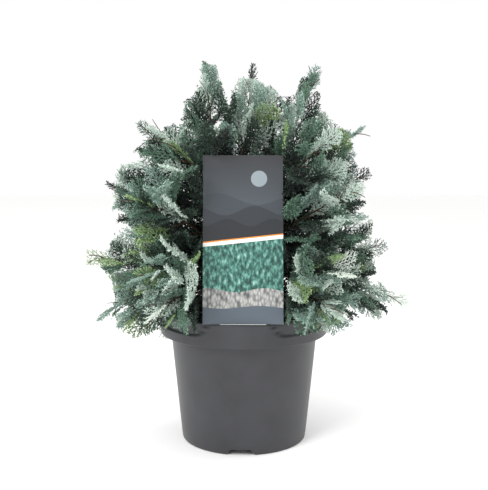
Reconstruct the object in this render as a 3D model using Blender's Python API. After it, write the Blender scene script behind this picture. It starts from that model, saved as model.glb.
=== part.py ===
"""A dwarf blue sawara cypress in its nursery pot.

The pot is turned from one profile, then cut for its label slot, feet and drains.
The plant is one trunk with curved boughs. Each bough, and the trunk's own tip,
carries a mass of foliage: a stem, twigs, and toothed blades that each stand for
a flat spray of needles, fused into one solid that keeps to its own space.
Metres, +Z up, front of the pot towards -Y, origin under the middle of the pot.
"""

import math
import random

import bmesh
import bpy
from mathutils import Matrix, Vector
from mathutils.bvhtree import BVHTree

MM = 0.001

# Pot: a three litre container, 19 cm across and 15 cm high
POT_HEIGHT = 150 * MM
POT_TURN = math.radians(-3)
BASE_RADIUS = 71.6 * MM
WALL_RADIUS_AT_LIP = 86.4 * MM
WALL = 1.5 * MM
FOOT_RISE = 4 * MM
FOOT_RING = 5 * MM
CENTRE_FOOT_RADIUS = 22 * MM
RIM_RADIUS = 95.5 * MM
RIM_DEPTH = 25.5 * MM
RIM_RECESS = 2.3 * MM
RECESS_FLOOR = POT_HEIGHT - 14 * MM
POCKET_HALF = math.radians(22)
POCKET_CORNER = math.radians(10)
NOTCH_WIDTH, NOTCH_TOP_WIDTH, NOTCH_HEIGHT = 33 * MM, 22 * MM, 6.5 * MM
NOTCHES = 4
DRAINS, DRAIN_RADIUS, DRAIN_CIRCLE = 6, 5 * MM, 46 * MM
POT_COLUMNS = 40

# Potting mix, filled to just under the rim
SOIL_TOP = 138 * MM
SOIL_EDGE_DROP = 4 * MM
SOIL_COLUMNS = POT_COLUMNS

# Label: a stiff card whose tongue stands in the slot of the rim
LABEL_X = -1 * MM
LABEL_FRONT = 88.4 * MM
LABEL_WIDTH, LABEL_HEIGHT, LABEL_THICK = 85 * MM, 179 * MM, 0.7 * MM
LABEL_LEAN = math.radians(11)
LABEL_CORNER = 3 * MM
TONGUE_WIDTH, TONGUE_FOOT_WIDTH, TONGUE_DEPTH = 50 * MM, 38 * MM, 13 * MM

# Trunk
TRUNK_TOP = 285 * MM
TRUNK_RADIUS, TRUNK_TIP_RADIUS = 5.5 * MM, 2.4 * MM
FLARE, FLARE_HEIGHT = 4 * MM, 12 * MM
TRUNK_LEAN = Vector((-6 * MM, 3 * MM, 0))
TRUNK_SIDES = 8

# Limbs: the bough is the first part of a limb's curve and the mass's stem the rest
BOUGH_RADIUS, BOUGH_TIP_RADIUS, STEM_TIP_RADIUS = 2.1 * MM, 1.3 * MM, 0.6 * MM
BOUGH_SHARE, STEM_SHARE = 0.42, 0.80
LIMB_SIDES = 5

# Tiers from the rim upwards: how many masses, the azimuth that each side of the front
# is left open for the label, height of the root on the trunk, then outward distance
# and height of the curve's bend and of its tip
TIERS = (
    ("skirt", 7, 36, 152, (86, 192), (155, 150)),
    ("low", 6, 40, 172, (70, 208), (156, 214)),
    ("middle", 7, 0, 198, (60, 250), (148, 286)),
    ("upper", 5, 46, 228, (46, 296), (124, 346)),
)
ROOT_STAGGER = 9 * MM
# The shoots that run up past the tiers: height of the root, bend and tip as x, y, z
LEADERS = (
    ("leader_left", 248, (-36, -4, 312), (-43, 2, 429)),
    ("leader_right", 260, (46, 4, 312), (78, -6, 415)),
    ("leader_top", 285, (2, 6, 345), (8, 10, 408)),
)
# Limbs that the photo shows clear of the rest, some arching over the rim to hang beside
# the pot: azimuth, then outward distance and height of the bend and of the tip
LONG_SHOOTS = {
    "skirt_1": (36, (86, 200), (150, 172)),
    "skirt_7": (-36, (86, 200), (150, 170)),
    "skirt_2": (82, (96, 196), (174, 165)),
    "skirt_3": (126, (116, 208), (136, 112)),
    "skirt_5": (-128, (112, 208), (124, 106)),
    "skirt_6": (-84, (92, 194), (154, 150)),
    "low_2": (94, (76, 210), (148, 218)),
    "low_5": (-86, (82, 206), (171, 210)),
    "middle_3": (103, (62, 252), (140, 300)),
    "middle_6": (-98, (62, 252), (150, 288)),
    "upper_2": (96, (48, 292), (130, 352)),
    "upper_4": (-100, (50, 300), (112, 352)),
}

# Foliage
SPRAY_LENGTH, SPRAY_WIDTH, SPRAY_THICK = 52 * MM, 40 * MM, 1.4 * MM
SPRAY_SWELL = {2: (0.50, 0.40), 3: (0.42, 0.50, 0.34)}
SPRAY_VALLEY = 0.48
TWIG_LENGTH, TWIG_RADIUS = 13 * MM, 0.8 * MM
TWIG_STATIONS = (0.50, 0.61, 0.72)
CROSS_SPRAYS = 1
CORE_SIZE = (38 * MM, 28 * MM, 25 * MM)
CORE_SHARE = 0.68
SHRINKS = (1.0, 0.9, 0.8, 0.7, 0.6, 0.5)
GAP = 0.3 * MM

COLOURS = {
    "pot_plastic": ((0.074, 0.075, 0.081), 0.42),
    "potting_mix": ((0.035, 0.024, 0.017), 0.95),
    "label_card": ((0.033, 0.035, 0.040), 0.35),
    "bark": ((0.115, 0.070, 0.045), 0.85),
    "foliage": ((0.155, 0.245, 0.190), 0.60),
}


def outward(azimuth):
    """The level direction at an azimuth in degrees: 0 is the front, 90 the right."""
    turn = math.radians(azimuth)
    return Vector((math.sin(turn), -math.cos(turn), 0))


def clear_scene():
    for old in list(bpy.data.objects):
        bpy.data.objects.remove(old)


def material(name):
    found = bpy.data.materials.get(name)
    if found:
        return found
    colour, roughness = COLOURS[name]
    made = bpy.data.materials.new(name)
    made.use_nodes = True
    shader = made.node_tree.nodes["Principled BSDF"]
    shader.inputs["Base Color"].default_value = (*colour, 1)
    shader.inputs["Roughness"].default_value = roughness
    return made


def place(name, bm, finish):
    """Makes the named object of a closed bmesh and links it to the scene."""
    bmesh.ops.recalc_face_normals(bm, faces=bm.faces)
    mesh = bpy.data.meshes.new(name)
    bm.to_mesh(mesh)
    bm.free()
    mesh.materials.append(material(finish))
    obj = bpy.data.objects.new(name, mesh)
    bpy.context.scene.collection.objects.link(obj)
    return obj


def join(obj, others, operation):
    """Applies one Boolean on a collection of the others, then removes them."""
    pool = bpy.data.collections.new("pool")
    bpy.context.scene.collection.children.link(pool)
    for other in others:
        bpy.context.scene.collection.objects.unlink(other)
        pool.objects.link(other)
    boolean = obj.modifiers.new("join", "BOOLEAN")
    boolean.operation = operation
    boolean.operand_type = "COLLECTION"
    boolean.collection = pool
    boolean.solver = "MANIFOLD" if operation == "UNION" else "EXACT"
    graph = bpy.context.evaluated_depsgraph_get()
    joined = bpy.data.meshes.new_from_object(obj.evaluated_get(graph))
    obj.modifiers.clear()
    obj.data = joined
    for other in others:
        bpy.data.objects.remove(other)
    bpy.data.collections.remove(pool)
    return obj


def turned(profile, columns, turn=0.0):
    """A solid turned round Z from a profile of (radius, height) that starts and ends on the axis."""
    bm = bmesh.new()
    points = [bm.verts.new((math.sin(turn) * r, -math.cos(turn) * r, z)) for r, z in profile]
    edges = [bm.edges.new(pair) for pair in zip(points, points[1:])]
    bmesh.ops.spin(
        bm,
        geom=points + edges,
        cent=(0, 0, 0),
        axis=(0, 0, 1),
        angle=2 * math.pi,
        steps=columns,
        use_merge=True,
    )
    bmesh.ops.remove_doubles(bm, verts=bm.verts, dist=0.01 * MM)
    return bm


# Pot

def wall_radius(height):
    """Outside radius of the tapered wall at a height."""
    return BASE_RADIUS + (WALL_RADIUS_AT_LIP - BASE_RADIUS) * height / POT_HEIGHT


def inner_radius(height):
    """Inside radius of the wall, from its corner with the floor to just under the lip."""
    low, high = FOOT_RISE + 2 * WALL, POT_HEIGHT - MM
    foot, top = wall_radius(FOOT_RISE) - WALL, WALL_RADIUS_AT_LIP - WALL
    return foot + (top - foot) * (height - low) / (high - low)


def recess(azimuth, height):
    """How far the rim's face is sunk, from 0 on the label pockets to 1 in the grip panels."""
    off = abs(math.remainder(azimuth - POT_TURN, math.pi))
    across = min(max((POCKET_HALF + POCKET_CORNER - off) / POCKET_CORNER, 0), 1)
    edge = RECESS_FLOOR + (POT_HEIGHT + MM - RECESS_FLOOR) * (1 - math.sqrt(1 - across**2))
    step = min(max((height - edge) / (2.5 * MM) + 0.5, 0), 1)
    return step * step * (3 - 2 * step)


def pot_profile():
    lip = POT_HEIGHT
    skirt_foot = POT_HEIGHT - RIM_DEPTH
    outer_rows = (0.8, 7.5, 12, 14, 16)
    under = [
        (0, 0),
        (CENTRE_FOOT_RADIUS, 0),
        (CENTRE_FOOT_RADIUS + FOOT_RISE, FOOT_RISE),
        (BASE_RADIUS - FOOT_RING - MM, FOOT_RISE),
        (BASE_RADIUS - FOOT_RING, 0),
        (BASE_RADIUS - 2 * MM, 0),
    ]
    wall = [
        (wall_radius(2.5 * MM), 2.5 * MM),
        (wall_radius(lip - WALL), lip - WALL),
        (RIM_RADIUS - RIM_RECESS - 2 * WALL, lip - WALL),
        (RIM_RADIUS - RIM_RECESS - WALL, lip - 2 * WALL),
        (RIM_RADIUS - RIM_RECESS - WALL, RECESS_FLOOR - MM),
        (RIM_RADIUS - WALL, RECESS_FLOOR - 4 * MM),
        (RIM_RADIUS - WALL, skirt_foot),
        (RIM_RADIUS - 0.4 * MM, skirt_foot),
    ]
    face = [(RIM_RADIUS, lip - drop * MM) for drop in reversed(outer_rows)]
    inner = [
        (RIM_RADIUS - MM, lip),
        (WALL_RADIUS_AT_LIP - WALL + MM, lip),
        (WALL_RADIUS_AT_LIP - WALL, lip - MM),
        (wall_radius(FOOT_RISE) - WALL, FOOT_RISE + 2 * WALL),
        (wall_radius(FOOT_RISE) - 2 * WALL, FOOT_RISE + WALL),
        (0, FOOT_RISE + WALL),
    ]
    return under + wall + face + inner


def sink_panels(bm):
    """Sinks the grip panels into the rim's face and draws the skin behind the pockets forward."""
    for vert in bm.verts:
        radius = math.hypot(vert.co.x, vert.co.y)
        if radius < RIM_RADIUS - RIM_RECESS - 2.5 * WALL or vert.co.z < RECESS_FLOOR - 2 * MM:
            continue
        azimuth = math.atan2(vert.co.x, -vert.co.y)
        inside = radius < RIM_RADIUS - RIM_RECESS - 0.5 * WALL
        if inside:
            move = RIM_RECESS * (1 - recess(azimuth, POT_HEIGHT))
        else:
            move = -RIM_RECESS * recess(azimuth, vert.co.z)
        vert.co.xy *= (radius + move) / radius


def notch_cutter(azimuth):
    """A block with sloping ends that opens one drainage gap in the foot ring."""
    bm = bmesh.new()
    low, high = -2 * MM, NOTCH_HEIGHT
    slope = (NOTCH_WIDTH - NOTCH_TOP_WIDTH) / 2
    near, far = BASE_RADIUS - FOOT_RING - 2.5 * MM, BASE_RADIUS + 10 * MM
    corners = (
        (-NOTCH_WIDTH / 2 - slope * 0.3, low),
        (NOTCH_WIDTH / 2 + slope * 0.3, low),
        (NOTCH_TOP_WIDTH / 2 + 0.7 * MM, high - MM),
        (NOTCH_TOP_WIDTH / 2 - 0.6 * MM, high),
        (-NOTCH_TOP_WIDTH / 2 + 0.6 * MM, high),
        (-NOTCH_TOP_WIDTH / 2 - 0.7 * MM, high - MM),
    )
    face = bm.faces.new([bm.verts.new((x, -far, z)) for x, z in corners])
    grown = bmesh.ops.extrude_face_region(bm, geom=[face])
    moved = [item for item in grown["geom"] if isinstance(item, bmesh.types.BMVert)]
    bmesh.ops.translate(bm, verts=moved, vec=(0, far - near, 0))
    bmesh.ops.rotate(bm, verts=bm.verts, cent=(0, 0, 0), matrix=Matrix.Rotation(azimuth, 3, "Z"))
    return place("notch_cutter", bm, "pot_plastic")


def drain_cutter(azimuth):
    bm = bmesh.new()
    middle = outward(math.degrees(azimuth)) * DRAIN_CIRCLE + Vector((0, 0, FOOT_RISE))
    bmesh.ops.create_cone(
        bm,
        cap_ends=True,
        segments=8,
        radius1=DRAIN_RADIUS,
        radius2=DRAIN_RADIUS,
        depth=10 * MM,
        matrix=Matrix.Translation(middle),
    )
    return place("drain_cutter", bm, "pot_plastic")


def slot_cutter():
    bm = bmesh.new()
    size = (TONGUE_WIDTH + 1.4 * MM, LABEL_THICK + 1.4 * MM, 6 * MM)
    bmesh.ops.create_cube(bm, size=1, matrix=Matrix.Diagonal((*size, 1)))
    bmesh.ops.translate(bm, verts=bm.verts, vec=(LABEL_X, -LABEL_FRONT, POT_HEIGHT))
    return place("slot_cutter", bm, "pot_plastic")


def make_pot():
    bm = turned(pot_profile(), POT_COLUMNS, POT_TURN)
    sink_panels(bm)
    pot = place("pot", bm, "pot_plastic")
    cutters = [notch_cutter(POT_TURN + math.tau * i / NOTCHES) for i in range(NOTCHES)]
    cutters += [drain_cutter(POT_TURN + math.tau * (i + 0.5) / DRAINS) for i in range(DRAINS)]
    cutters.append(slot_cutter())
    join(pot, cutters, "DIFFERENCE")
    pot.data.materials.clear()
    pot.data.materials.append(material("pot_plastic"))


def make_soil():
    rng = random.Random(11)
    floor = FOOT_RISE + WALL + 2 * GAP
    corner = FOOT_RISE + 3 * WALL
    edge_top = SOIL_TOP - SOIL_EDGE_DROP
    profile = [
        (0, floor),
        (inner_radius(corner) - 2.5 * WALL, floor),
        (inner_radius(corner) - 1.5 * GAP, corner),
        (inner_radius(edge_top) - 1.5 * GAP, edge_top),
        (60 * MM, SOIL_TOP - 3 * MM),
        (36 * MM, SOIL_TOP - MM),
        (14 * MM, SOIL_TOP),
        (0, SOIL_TOP),
    ]
    bm = turned(profile, SOIL_COLUMNS, POT_TURN)
    for vert in bm.verts:
        if 20 * MM < vert.co.xy.length < 70 * MM and vert.co.z > edge_top:
            vert.co.z += rng.uniform(-1.5, 1.5) * MM
    place("soil", bm, "potting_mix")


# Label

def label_outline():
    """Half widths and heights up the right side, from the tongue's foot to the top corner."""
    tongue, half = TONGUE_WIDTH / 2, LABEL_WIDTH / 2
    top, c = LABEL_HEIGHT, LABEL_CORNER
    right = [
        (TONGUE_FOOT_WIDTH / 2, -TONGUE_DEPTH),
        (tongue, -2 * MM),
        (tongue, 0),
        (half - c, 0),
        (half, c),
        (half, top - c),
        (half - c * 0.3, top - c * 0.3),
        (half - c, top),
    ]
    return right + [(-x, z) for x, z in reversed(right)]


def label_matrix():
    seat = Vector((LABEL_X, -LABEL_FRONT, POT_HEIGHT + GAP))
    return Matrix.Translation(seat) @ Matrix.Rotation(-LABEL_LEAN, 4, "X")


def make_label():
    bm = bmesh.new()
    front = bm.faces.new([bm.verts.new((x, -LABEL_THICK / 2, z)) for x, z in label_outline()])
    grown = bmesh.ops.extrude_face_region(bm, geom=[front])
    moved = [item for item in grown["geom"] if isinstance(item, bmesh.types.BMVert)]
    bmesh.ops.translate(bm, verts=moved, vec=(0, LABEL_THICK, 0))
    bmesh.ops.transform(bm, matrix=label_matrix(), verts=bm.verts)
    place("label", bm, "label_card")


# Limbs

def bezier(root, bend, tip, t):
    return root * (1 - t) ** 2 + bend * (2 * t * (1 - t)) + tip * t**2


def bezier_slope(root, bend, tip, t):
    return ((bend - root) * (2 - 2 * t) + (tip - bend) * (2 * t)).normalized()


def tube(bm, path, radii, sides, pointed=False):
    """Adds a closed tapered tube to bm along a path. A pointed one ends in a single point."""
    rings = []
    across = None
    for i, point in enumerate(path):
        ahead = (path[min(i + 1, len(path) - 1)] - path[max(i - 1, 0)]).normalized()
        start = across or ahead.orthogonal()
        across = (start - ahead * start.dot(ahead)).normalized()
        other = ahead.cross(across)
        if pointed and i == len(path) - 1:
            rings.append([bm.verts.new(point)])
            continue
        ring = []
        for k in range(sides):
            turn = math.tau * k / sides
            ring.append(bm.verts.new(point + (across * math.cos(turn) + other * math.sin(turn)) * radii[i]))
        rings.append(ring)
    bm.faces.new(rings[0])
    for low, high in zip(rings, rings[1:]):
        for k in range(sides):
            after = (k + 1) % sides
            top = [high[after % len(high)], high[k % len(high)]]
            bm.faces.new([low[k], low[after]] + (top if len(high) > 1 else top[:1]))
    if not pointed:
        bm.faces.new(rings[-1])


def trunk_axis(height):
    """Centre of the trunk at a height: a lean with one slow wave in it."""
    share = (height - SOIL_TOP) / (TRUNK_TOP - SOIL_TOP)
    wave = Vector((math.sin(share * math.pi * 1.6), math.cos(share * math.pi) - 1, 0)) * 1.5 * MM
    return TRUNK_LEAN * share + wave + Vector((0, 0, height))


def trunk_radius(height):
    share = (height - SOIL_TOP) / (TRUNK_TOP - SOIL_TOP)
    flare = FLARE * math.exp(-(height - SOIL_TOP) / (FLARE_HEIGHT / 2))
    return TRUNK_RADIUS + (TRUNK_TIP_RADIUS - TRUNK_RADIUS) * share + flare


def trunk_heights():
    low = SOIL_TOP + GAP
    near_ground = [low + step * MM for step in (0, 2.5, 6, 12, 20)]
    rest = 5
    start = near_ground[-1]
    return near_ground + [start + (TRUNK_TOP - start) * (i + 1) / rest for i in range(rest)]


def make_trunk():
    bm = bmesh.new()
    heights = trunk_heights()
    path = [trunk_axis(h) for h in heights]
    tube(bm, path, [trunk_radius(h) for h in heights], TRUNK_SIDES)
    for vert in bm.verts:
        if vert.co.z < heights[0] + 1.2 * MM:
            vert.co.z = heights[0]
    return place("trunk", bm, "bark")


class Limb:
    """One limb's curve from the trunk to a mass's tip, with the share of it that is the bough."""

    def __init__(self, name, root, bend, tip, bough_share=BOUGH_SHARE):
        self.name, self.root, self.bend, self.tip = name, root, bend, tip
        self.bough_share = bough_share

    def at(self, t):
        return bezier(self.root, self.bend, self.tip, t)

    def slope(self, t):
        return bezier_slope(self.root, self.bend, self.tip, t)

    def length(self):
        points = [self.at(i / 12) for i in range(13)]
        return sum((b - a).length for a, b in zip(points, points[1:]))

    def radius(self, t):
        if t < self.bough_share:
            return BOUGH_RADIUS + (BOUGH_TIP_RADIUS - BOUGH_RADIUS) * t / self.bough_share
        along = (t - self.bough_share) / (1 - self.bough_share)
        return BOUGH_TIP_RADIUS + (STEM_TIP_RADIUS - BOUGH_TIP_RADIUS) * along

    def start(self, trunk):
        """The share of the curve at which the bough's flat root first stands clear of the trunk."""
        for i in range(4, 200):
            t = i / 800
            point, slope, radius = self.at(t), self.slope(t), self.radius(t)
            across = slope.orthogonal().normalized()
            turns = [Matrix.Rotation(math.tau * k / 12, 3, slope) for k in range(12)]
            root = [point] + [point + turn @ across * radius for turn in turns]
            found = [(p, *trunk.find_nearest(p)) for p in root]
            if all((p - near).dot(normal) > 0 and gap > GAP for p, near, normal, _, gap in found):
                return t
        return 0.25


def spread(count, opening):
    """The azimuths of a tier's masses, with none nearer the front than the opening."""
    if not opening:
        return [360 * i / count for i in range(count)]
    return [opening + (360 - 2 * opening) * i / (count - 1) for i in range(count)]


def label_room(azimuth, reach, height):
    """Outward reach at this azimuth and height, cut short where the label stands in front."""
    line = outward(azimuth)
    above = height - POT_HEIGHT
    front = LABEL_FRONT - above * math.tan(LABEL_LEAN) - 4 * MM
    passes = abs(line.x) * front > -line.y * (LABEL_WIDTH / 2 + 4 * MM)
    if above > LABEL_HEIGHT or line.y >= 0 or passes:
        return reach
    return min(reach, front / -line.y)


def tier_limbs():
    rng = random.Random(3)
    limbs = []
    for tier, count, opening, root_z, bend, tip in TIERS:
        for i, azimuth in enumerate(spread(count, opening)):
            name = f"{tier}_{i + 1}"
            longer, higher = rng.uniform(0.95, 1.02), rng.uniform(-7, 7)
            knee = (bend[0] * longer, bend[1] + higher / 2)
            end = (tip[0] * longer, tip[1] + higher)
            azimuth, knee, end = LONG_SHOOTS.get(name, (azimuth, knee, end))
            reach = label_room(azimuth, end[0] * MM, end[1] * MM)
            shorter = reach / (end[0] * MM)
            line = outward(azimuth)
            root = trunk_axis(root_z * MM + ROOT_STAGGER * (i % 2))
            bend_at = line * knee[0] * shorter * MM + Vector((0, 0, knee[1] * MM))
            limbs.append(Limb(name, root, bend_at, line * reach + Vector((0, 0, end[1] * MM))))
    return limbs


def leader_limbs():
    limbs = []
    for name, root_z, bend, tip in LEADERS:
        on_tip = root_z * MM >= TRUNK_TOP
        root = trunk_axis(min(root_z * MM, TRUNK_TOP))
        limbs.append(Limb(name, root, Vector(bend) * MM, Vector(tip) * MM, 0 if on_tip else 0.36))
    return limbs


def make_bough(limb, trunk):
    bm = bmesh.new()
    start, end, steps = limb.start(trunk), limb.bough_share, 3
    shares = [start + (end - start) * i / steps for i in range(steps + 1)]
    tube(bm, [limb.at(t) for t in shares], [limb.radius(t) for t in shares], LIMB_SIDES)
    return place(f"bough_{limb.name}", bm, "bark")


# Foliage

def make_stem(limb):
    """The rest of the limb's curve, 0.3 mm on from the bough's tip, or from the trunk's."""
    bm = bmesh.new()
    start = limb.bough_share + (GAP if limb.bough_share else 2 * GAP) / limb.length()
    shares = [start + (STEM_SHARE - start) * i / 3 for i in range(4)]
    tube(bm, [limb.at(t) for t in shares], [limb.radius(t) for t in shares], 4)
    return bm


class Space:
    """The room that each mass keeps to: its share of the crown, clear of pot, label and limbs."""

    def __init__(self, limbs, wood):
        self.seeds = [limb.at(0.68) for limb in limbs]
        graph = bpy.context.evaluated_depsgraph_get()
        self.trees = [BVHTree.FromObject(obj, graph) for obj in wood]
        self.stems = [BVHTree.FromBMesh(make_stem(limb)) for limb in limbs]

    def owns(self, index, points):
        own = self.seeds[index]
        for other in self.seeds:
            line = other - own
            if line.length == 0:
                continue
            middle, normal = (own + other) / 2, line.normalized()
            if any((p - middle).dot(normal) > -GAP for p in points):
                return False
        return True

    def clear_of_pot(self, points):
        rim, room = POT_HEIGHT + 2 * GAP, RIM_RADIUS + 3 * GAP
        if min(p.z for p in points) > rim:
            return True
        middle = sum(points, Vector()) / len(points)
        line = Vector((middle.x, middle.y, 0)).normalized()
        if min(p.dot(line) for p in points) > room:
            return True
        inside = max(p.xy.length for p in points) < WALL_RADIUS_AT_LIP - 3 * WALL
        return inside and min(p.z for p in points) > SOIL_TOP + 2 * MM

    def clear_of_label(self, points):
        back = label_matrix().inverted()
        local = [back @ p for p in points]
        half, side = LABEL_WIDTH / 2 + MM, LABEL_THICK / 2 + 1.5 * MM
        return (
            min(p.x for p in local) > half
            or max(p.x for p in local) < -half
            or min(p.y for p in local) > side
            or min(p.z for p in local) > LABEL_HEIGHT + 2 * MM
        )

    def free(self, index, bm):
        points = [v.co.copy() for v in bm.verts]
        if not (self.owns(index, points) and self.clear_of_pot(points) and self.clear_of_label(points)):
            return False
        shape = BVHTree.FromBMesh(bm)
        others = self.stems[:index] + self.stems[index + 1 :]
        return not any(tree.overlap(shape) for tree in self.trees + others)


def frame_along(base, ahead, normal):
    """A matrix whose X runs along the spray and whose Z is its face."""
    x = ahead.normalized()
    y = normal.cross(x).normalized()
    z = x.cross(y)
    return Matrix.Translation(base) @ Matrix((x, y, z)).transposed().to_4x4()


def spray_blade(length, width, teeth, rng):
    """A toothed blade, sharp at its edge and thickest on its rib: one flat spray of needles."""
    bm = bmesh.new()
    sag = rng.uniform(0.02, 0.12) * length

    def at(x, y, z=0.0):
        return bm.verts.new((x, y, z - sag * (x / length) ** 2))

    base, tip = at(-0.06 * length, 0), at(length, 0)
    ridge_x = [length * (0.10 + 0.62 * i / (teeth - 1)) for i in range(teeth)]
    tops = [at(x, 0, SPRAY_THICK / 2) for x in ridge_x]
    unders = [at(x, 0, -SPRAY_THICK / 2) for x in ridge_x]
    for side in (1, -1):
        edge = [base]
        for x, swell in zip(ridge_x, SPRAY_SWELL[teeth]):
            out = swell * width * rng.uniform(0.88, 1.08)
            edge.append(at(x + 0.04 * length, side * out * SPRAY_VALLEY))
            edge.append(at(min(x + 0.25 * length, 0.94 * length), side * out))
        edge.append(tip)
        for ridge in (tops, unders):
            bm.faces.new((edge[0], edge[1], ridge[0]))
            for i, crest in enumerate(ridge):
                valley, point, after = edge[2 * i + 1 : 2 * i + 4]
                bm.faces.new((crest, valley, point))
                bm.faces.new((crest, point, after))
                if i + 1 < len(ridge):
                    bm.faces.new((crest, after, ridge[i + 1]))
    bmesh.ops.recalc_face_normals(bm, faces=bm.faces)
    return bm


def aim(limb, t, roll, lean, rng):
    """A direction that leaves the stem at a lean, rolled round it, and the face for a spray there."""
    ahead = limb.slope(t)
    level = ahead.cross(Vector((0, 0, 1)))
    level = level.normalized() if level.length > 0.1 else Vector((1, 0, 0))
    up = level.cross(ahead).normalized()
    side = level * math.cos(roll) + up * math.sin(roll)
    heading = (ahead * math.cos(lean) + side * math.sin(lean)).normalized()
    flat = heading.cross(up if abs(heading.dot(up)) < 0.8 else level).normalized()
    face = Matrix.Rotation(rng.uniform(-1.1, 1.1), 3, heading) @ heading.cross(flat)
    return heading, face


def grow_shape(space, index, make):
    """Tries smaller and smaller shapes until one keeps to the mass's space. None if none does."""
    for shrink in SHRINKS:
        bm = make(shrink)
        if space.free(index, bm):
            return bm
        bm.free()
    return None


def add_spray(space, index, base, heading, face, size, teeth, seed):
    def make(shrink):
        rng = random.Random(seed)
        bm = spray_blade(SPRAY_LENGTH * size * shrink, SPRAY_WIDTH * size * shrink, teeth, rng)
        bmesh.ops.transform(bm, matrix=frame_along(base, heading, face), verts=bm.verts)
        return bm

    return grow_shape(space, index, make)


def core(limb, space, index, rng):
    """The close dark middle of a dense mass, which the sprays stand out of."""
    across = aim(limb, CORE_SHARE, 0, 0.0, random.Random(0))[1]
    jitter = [rng.uniform(0.8, 1.12) for _ in range(12)]

    def make(shrink):
        bm = bmesh.new()
        bmesh.ops.create_icosphere(bm, subdivisions=1, radius=1)
        for vert, push in zip(bm.verts, jitter):
            vert.co = Vector((c * s * push * shrink for c, s in zip(vert.co, CORE_SIZE)))
        place_at = frame_along(limb.at(CORE_SHARE), limb.slope(CORE_SHARE), across)
        bmesh.ops.transform(bm, matrix=place_at, verts=bm.verts)
        return bm

    return grow_shape(space, index, make)


def grow_twig(limb, t, roll, space, index, rng, crossed):
    """A twig at share t of the limb with a spray on its end and, if crossed, one over the stem from it."""
    shapes = []
    slope, root = limb.slope(t), limb.at(t)
    heading, face = aim(limb, t, roll, rng.uniform(0.6, 0.9), rng)
    end = root + heading * TWIG_LENGTH * rng.uniform(0.8, 1.2)
    onward = (heading + slope * rng.uniform(0.3, 0.8)).normalized()
    twig = bmesh.new()
    tube(twig, [root, end + onward * 6 * MM], [TWIG_RADIUS, 0], 3, pointed=True)
    if space.free(index, twig):
        shapes.append(twig)
        shapes.append(add_spray(space, index, end, onward, face, rng.uniform(0.8, 1.0), 2, rng.random()))
    else:
        twig.free()
    if crossed:
        heading, face = aim(limb, t + 0.04, roll + math.pi, rng.uniform(0.5, 0.8), rng)
        shapes.append(add_spray(space, index, limb.at(t + 0.04), heading, face, 1.0, 2, rng.random()))
    return [shape for shape in shapes if shape]


def grow_mass(limb, index, space):
    """The shapes of one mass: stem, core, twigs and sprays. Roots are sunk into what carries them."""
    rng = random.Random(101 + index)
    shapes = [make_stem(limb), core(limb, space, index, rng)]
    end = limb.at(STEM_SHARE) - limb.slope(STEM_SHARE) * 3 * MM
    reach = (limb.tip - end).length
    heading = (limb.tip - end).normalized()
    face = aim(limb, STEM_SHARE, 0, 0.0, rng)[1]
    shapes.append(add_spray(space, index, end, heading, face, reach / SPRAY_LENGTH, 3, index))
    for side in (0, math.pi):
        turned_out, face = aim(limb, STEM_SHARE - 0.04, side + rng.uniform(-0.4, 0.4), 0.6, rng)
        base = limb.at(STEM_SHARE - 0.04)
        shapes.append(add_spray(space, index, base, turned_out, face, 0.9, 2, rng.random()))
    roll = rng.uniform(0, math.tau)
    for k, share in enumerate(TWIG_STATIONS):
        t = limb.bough_share + (share - BOUGH_SHARE) * (1 - limb.bough_share) / (1 - BOUGH_SHARE)
        shapes += grow_twig(limb, t, roll, space, index, rng, k < CROSS_SPRAYS)
        roll += math.radians(65) + rng.uniform(-0.3, 0.3)
    return [shape for shape in shapes if shape]


def keep_largest_piece(obj):
    """Fills any hollow that fusing sealed and drops loose scraps: one outer skin stays."""
    bm = bmesh.new()
    bm.from_mesh(obj.data)
    pieces, left = [], set(bm.verts)
    while left:
        piece, reached = set(), [left.pop()]
        while reached:
            vert = reached.pop()
            piece.add(vert)
            near = {edge.other_vert(vert) for edge in vert.link_edges} & left
            left -= near
            reached.extend(near)
        pieces.append(piece)
    widest = max(pieces, key=lambda piece: max(v.co.z for v in piece) - min(v.co.z for v in piece))
    bmesh.ops.delete(bm, geom=[v for v in bm.verts if v not in widest], context="VERTS")
    bm.to_mesh(obj.data)
    bm.free()


def make_mass(limb, index, space):
    objects = [place(f"shape_{i}", bm, "foliage") for i, bm in enumerate(grow_mass(limb, index, space))]
    mass = join(objects[0], objects[1:], "UNION") if len(objects) > 1 else objects[0]
    keep_largest_piece(mass)
    mass.name = f"foliage_{limb.name}"
    mass.data.materials.clear()
    mass.data.materials.append(material("foliage"))


def main():
    clear_scene()
    make_pot()
    make_soil()
    make_label()
    limbs = tier_limbs() + leader_limbs()
    wood = [make_trunk()]
    bpy.context.view_layer.update()
    trunk = BVHTree.FromObject(wood[0], bpy.context.evaluated_depsgraph_get())
    wood += [make_bough(limb, trunk) for limb in limbs if limb.bough_share]
    bpy.context.view_layer.update()
    space = Space(limbs, wood)
    for index, limb in enumerate(limbs):
        make_mass(limb, index, space)


main()
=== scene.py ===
"""A dwarf blue sawara cypress in its nursery pot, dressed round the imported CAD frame.

The pot, soil, label and bark are modelled as meshes. The limbs are worked out from the CAD
part's sizes and seed, and a finer rule grows twigs, sprays and single leaves along them.
Metres, +Z up, front of the pot towards -Y.
"""

import math
import random

import bpy
import numpy as np
from mathutils import Matrix, Vector, noise


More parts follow.
